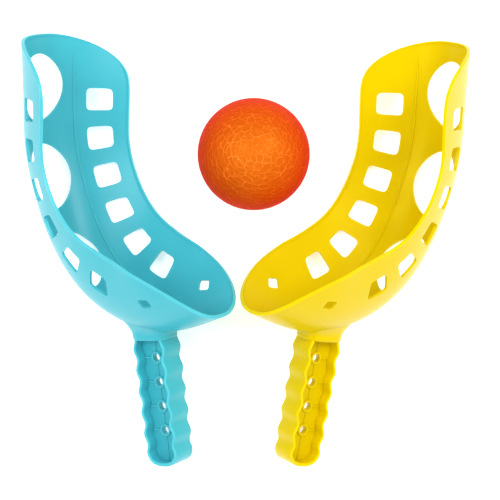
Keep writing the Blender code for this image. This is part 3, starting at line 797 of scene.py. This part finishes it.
def net_place(points, radius):
    """Points of the skin in the space that the network is laid out in, with its two directions.

    There a point's distance from the pole, along the skin, takes the place of its height, so that
    the cells are long round the ball and short from pole to pole.
    """
    pole = Vector(NET_POLE).normalized()
    turned = points @ np.array(pole.rotation_difference(Vector((0, 0, 1))).to_matrix()).T
    off_axis = np.hypot(turned[:, 0], turned[:, 1])
    around = np.arctan2(turned[:, 1], turned[:, 0])
    from_pole = np.arctan2(off_axis, turned[:, 2])
    eased = np.hypot(from_pole, NET_POLE_EVEN)
    closer = NET_POLE_CLOSER * np.exp(-(from_pole / NET_POLE_REACH) ** 2)
    widening = (np.cos(from_pole) * (1.0 + closer)
                - np.sin(from_pole) * closer * 2.0 * from_pole / NET_POLE_REACH ** 2)
    place = np.column_stack([turned[:, :2] * (1.0 + closer)[:, None], NET_STRETCH * radius * eased])
    outward = np.column_stack([np.cos(around), np.sin(around)])
    meridian = np.column_stack([outward * widening[:, None], NET_STRETCH * from_pole / eased])
    parallel = np.column_stack([-outward[:, 1], outward[:, 0], np.zeros(len(points))])
    parallel *= (1.0 + closer)[:, None]
    return place, meridian, parallel


def distance_to_line(points, radius, spacing):
    """How far each point of the ball's skin lies from the nearest line of the network."""
    place, meridian, parallel = net_place(points, radius)
    noise.seed_set(NET_SEED)
    for size, reach in NET_WANDER:
        drift = [noise.noise_vector(point) for point in (points / size).tolist()]
        place = place + np.array(drift) * reach
    high = np.ceil(place.max(axis=0) / spacing) + 1
    low = np.floor(place.min(axis=0) / spacing) - 1
    spread = np.stack(np.meshgrid(*map(np.arange, low, high), indexing="ij"), -1).reshape(-1, 3)
    shake = np.random.default_rng(NET_SEED).uniform(-NET_SHAKE, NET_SHAKE, spread.shape)
    seeds = (spread + shake) * spacing
    tree = kdtree.KDTree(len(seeds))
    for number, seed in enumerate(seeds.tolist()):
        tree.insert(seed, number)
    tree.balance()
    near = seeds[[[index for _, index, _ in tree.find_n(point, NET_NEIGHBOURS)]
                  for point in place.tolist()]]
    far = np.full(len(points), np.inf)
    for other in range(1, NET_NEIGHBOURS):
        apart = near[:, other] - near[:, 0]
        apart /= np.linalg.norm(apart, axis=1, keepdims=True)
        middle = (near[:, other] + near[:, 0]) / 2
        steepness = np.hypot((apart * meridian).sum(1), (apart * parallel).sum(1))
        steepness = np.maximum(steepness, NET_FLATTEST)
        far = np.minimum(far, ((middle - place) * apart).sum(1) / steepness)
    return far


class SCOOPSET_OT_ball(Operator):
    """Build the soft ball"""
    bl_idname = "scoop_set.ball"
    bl_label = "Ball"
    bl_options = {"REGISTER", "UNDO"}

    def execute(self, context):
        settings = context.scene.scoop_set
        low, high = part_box("ball")
        radius = settings.ball_diameter / 2
        deselect()
        bpy.ops.mesh.primitive_uv_sphere_add(
            segments=settings.ball_segments,
            ring_count=round(settings.ball_segments * BALL_RINGS_SHARE), radius=radius)
        ball = bpy.context.object
        ball.name = ball.data.name = "soft_ball"
        points = mesh_points(ball.data)
        far = distance_to_line(points, radius, settings.line_spacing)
        crest = np.clip(1.0 - far / (settings.line_width / 2), 0.0, 1.0)
        sunk = settings.line_height * (1.0 - crest * (2.0 - crest))
        points = points * (1.0 - sunk / radius)[:, None] + np.array((low + high) / 2)
        ball.data.vertices.foreach_set("co", points.ravel())
        layer = ball.data.attributes.new("off_line", "FLOAT", "POINT")
        layer.data.foreach_set("value", far / MM)
        bpy.ops.object.shade_smooth()
        ball.data.materials.append(soft_pvc(settings))
        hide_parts("ball")
        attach(ball, "root")
        return {"FINISHED"}


# ---- Materials


def add(tree, kind, inputs=None, links=None, **values):
    """Add a node with its settings, its input values and its links."""
    node = tree.nodes.new(kind)
    for name, value in values.items():
        setattr(node, name, value)
    for key, value in (inputs or {}).items():
        node.inputs[key].default_value = value
    for key, source in (links or {}).items():
        tree.links.new(source, node.inputs[key])
    return node


def new_material(name):
    material = bpy.data.materials.new(name)
    material.use_nodes = True
    return material, material.node_tree, material.node_tree.nodes["Principled BSDF"]


def moulded_polypropylene(name, colour, shine, settings):
    """Injection-moulded polypropylene: even colour, satin gloss, a painted highlight along its
    edges.
    """
    material, tree, shader = new_material(name)
    coords = add(tree, "ShaderNodeTexCoord").outputs["Object"]
    # Slow change of tone where the melt flowed, about 40 mm across
    flow = add(tree, "ShaderNodeTexNoise", {"Scale": 1 / (40 * MM), "Detail": 2.0},
               {"Vector": coords})
    base = linear(colour)
    deep = [c * 0.94 for c in base[:3]] + [1.0]
    # Paler colour painted on the edges as a highlight
    pale = [c ** (1.0 - settings.edge_highlight_paint) for c in base[:3]] + [1.0]
    tone = add(tree, "ShaderNodeMix", {"A": deep, "B": base}, {"Factor": flow.outputs["Fac"]},
               data_type="RGBA")
    # Painted highlight: rims, flanges, bosses, ribs and ridges are painted paler, where light would
    # catch them
    thin = add(tree, "ShaderNodeAttribute", attribute_name="painted_edge_highlight")
    with_painted_highlight = add(tree, "ShaderNodeMix", {"B": pale},
                {"Factor": thin.outputs["Fac"], "A": tone.outputs[2]}, data_type="RGBA")
    tree.links.new(with_painted_highlight.outputs[2], shader.inputs["Base Color"])
    # Mould texture, grain of about 0.5 mm, drawn coarser than the real one so that it shows
    grain = add(tree, "ShaderNodeTexNoise", {"Scale": 1 / (0.5 * MM), "Detail": 2.0},
                {"Vector": coords})
    gloss = add(tree, "ShaderNodeMapRange", {"To Min": 0.26, "To Max": 0.38},
                {"Value": grain.outputs["Fac"]})
    tree.links.new(gloss.outputs["Result"], shader.inputs["Roughness"])
    bump = add(tree, "ShaderNodeBump", {"Strength": 0.12, "Distance": 0.02 * MM},
               {"Height": grain.outputs["Fac"]})
    tree.links.new(bump.outputs["Normal"], shader.inputs["Normal"])
    shader.inputs["IOR"].default_value = 1.49
    shader.inputs["Specular IOR Level"].default_value = 0.28
    shader.inputs["Specular Tint"].default_value = linear(shine)
    # The walls are thin enough for light from below to come through, which lifts the shaded sides
    shader.inputs["Subsurface Weight"].default_value = 0.3
    shader.inputs["Subsurface Radius"].default_value = (0.7, 1.0, 1.0)
    shader.inputs["Subsurface Scale"].default_value = 2.5 * MM
    return material


def soft_pvc(settings):
    """Rotation-moulded soft PVC: an orange body, paler on its raised lines, under a clear skin."""
    material, tree, shader = new_material("orange rotation-moulded soft PVC")
    coords = add(tree, "ShaderNodeTexCoord").outputs["Object"]
    # The crests of the raised lines, about 0.6 mm wide, hold the least colour and look lighter
    off_line = add(tree, "ShaderNodeAttribute", attribute_name="off_line")
    line = add(tree, "ShaderNodeMapRange",
               {"From Min": 0.1, "From Max": 0.44, "To Min": 1.0, "To Max": 0.0},
               {"Value": off_line.outputs["Fac"]}, interpolation_type="SMOOTHSTEP")
    # Some stretches of line are fainter than others, in patches of about 8 mm
    patch = add(tree, "ShaderNodeTexNoise", {"Scale": 1 / (8 * MM), "Detail": 1.0},
                {"Vector": coords})
    keep = add(tree, "ShaderNodeMapRange", {"From Min": 0.36, "From Max": 0.58, "To Min": 0.35},
               {"Value": patch.outputs["Fac"]})
    drawn = add(tree, "ShaderNodeMath", None,
                {0: line.outputs["Result"], 1: keep.outputs["Result"]}, operation="MULTIPLY")
    tone = add(tree, "ShaderNodeMix",
               {"A": linear(settings.orange), "B": linear(settings.orange_line)},
               {"Factor": drawn.outputs[0]}, data_type="RGBA")
    tree.links.new(tone.outputs[2], shader.inputs["Base Color"])
    # Pebbled skin between the lines, grain of about 1.2 mm
    grain = add(tree, "ShaderNodeTexVoronoi", {"Scale": 1 / (1.2 * MM)}, {"Vector": coords})
    bump = add(tree, "ShaderNodeBump", {"Strength": 0.45, "Distance": 0.25 * MM},
               {"Height": grain.outputs["Distance"]})
    tree.links.new(bump.outputs["Normal"], shader.inputs["Normal"])
    shader.inputs["Roughness"].default_value = 0.38
    shader.inputs["IOR"].default_value = 1.53
    shader.inputs["Specular IOR Level"].default_value = 0.7
    shader.inputs["Specular Tint"].default_value = linear(settings.orange_shine)
    # The clear skin is tinted red, so the ball looks deeper and redder towards its outline
    shader.inputs["Coat Weight"].default_value = 1.0
    shader.inputs["Coat Roughness"].default_value = 0.5
    shader.inputs["Coat IOR"].default_value = 1.08
    shader.inputs["Coat Tint"].default_value = linear(settings.orange_skin)
    shader.inputs["Subsurface Weight"].default_value = 0.06
    shader.inputs["Subsurface Radius"].default_value = (1.0, 0.5, 0.3)
    shader.inputs["Subsurface Scale"].default_value = 1.5 * MM
    return material


def shooting_table():
    """Opal acrylic sheet, sanded matt and lit a little from below: shadows nearly vanish."""
    material, tree, shader = new_material("sanded opal acrylic")
    coords = add(tree, "ShaderNodeTexCoord").outputs["Object"]
    # Sanding marks, about 3 mm across, that show only as a very slight change of tone
    tooth = add(tree, "ShaderNodeTexNoise", {"Scale": 1 / (3 * MM)}, {"Vector": coords})
    tone = add(tree, "ShaderNodeMix", {"A": linear("#F6F6F6"), "B": linear("#FAFAFA")},
               {"Factor": tooth.outputs["Fac"]}, data_type="RGBA")
    tree.links.new(tone.outputs[2], shader.inputs["Base Color"])
    shader.inputs["Roughness"].default_value = 0.9
    shader.inputs["Specular IOR Level"].default_value = 0.1
    shader.inputs["Emission Color"].default_value = (1.0, 1.0, 1.0, 1.0)
    shader.inputs["Emission Strength"].default_value = 0.4
    return material


# ---- Stage


def soft_light(name, place, target, width, height, power):
    light = bpy.data.lights.new(name, "AREA")
    light.shape = "RECTANGLE"
    light.size, light.size_y = width, height
    light.energy = power
    lamp = bpy.data.objects.new(name, light)
    lamp.location = place
    lamp.rotation_euler = (Vector(target) - Vector(place)).to_track_quat("-Z", "Y").to_euler()
    bpy.context.scene.collection.objects.link(lamp)


class SCOOPSET_OT_stage(Operator):
    """Lay the floor, set the lights and aim the camera"""
    bl_idname = "scoop_set.stage"
    bl_label = "Stage"
    bl_options = {"REGISTER", "UNDO"}

    def execute(self, context):
        deselect()
        bpy.ops.mesh.primitive_plane_add(size=FLOOR_SIZE, location=(0.0, 0.0, -FLOOR_DROP))
        floor = bpy.context.object
        floor.name = "floor"
        bpy.ops.object.transform_apply(location=True, rotation=True, scale=True)
        floor.data.materials.append(shooting_table())
        for light in LIGHTS:
            soft_light(*light)
        world = bpy.data.worlds.new("studio")
        world.use_nodes = True
        sky = world.node_tree.nodes["Background"]
        sky.inputs["Color"].default_value = (1.0, 1.0, 1.0, 1.0)
        sky.inputs["Strength"].default_value = ROOM_LIGHT
        context.scene.world = world
        context.scene.view_settings.view_transform = "Standard"
        camera = bpy.data.cameras.new("camera")
        camera.lens = CAMERA_LENS
        camera.sensor_width = CAMERA_SENSOR
        camera.clip_start = 0.05
        eye = bpy.data.objects.new("camera", camera)
        backwards = Vector((0.0, -math.sin(CAMERA_TILT), math.cos(CAMERA_TILT)))
        eye.location = Vector(CAMERA_TARGET) + backwards * CAMERA_AWAY
        eye.rotation_euler = (CAMERA_TILT, 0.0, 0.0)
        context.scene.collection.objects.link(eye)
        context.scene.camera = eye
        return {"FINISHED"}


class SCOOPSET_PT_panel(Panel):
    """Sizes, colours and build steps of the scoop set"""
    bl_idname = "SCOOPSET_PT_panel"
    bl_label = "Scoop Set"
    bl_space_type = "VIEW_3D"
    bl_region_type = "UI"
    bl_category = "Scoop Set"

    def draw(self, context):
        settings = context.scene.scoop_set
        for name in ScoopSetSettings.__annotations__:
            self.layout.prop(settings, name)
        for step in STEPS:
            self.layout.operator(step.bl_idname)


STEPS = (SCOOPSET_OT_scoops, SCOOPSET_OT_ball, SCOOPSET_OT_stage)
CLASSES = (ScoopSetSettings, *STEPS, SCOOPSET_PT_panel)


def register():
    for kind in CLASSES:
        bpy.utils.register_class(kind)
    bpy.types.Scene.scoop_set = PointerProperty(type=ScoopSetSettings)


def unregister():
    del bpy.types.Scene.scoop_set
    for kind in reversed(CLASSES):
        bpy.utils.unregister_class(kind)


def main():
    register()
    bpy.ops.scoop_set.scoops()
    bpy.ops.scoop_set.ball()
    bpy.ops.scoop_set.stage()


if __name__ == "__main__":
    main()
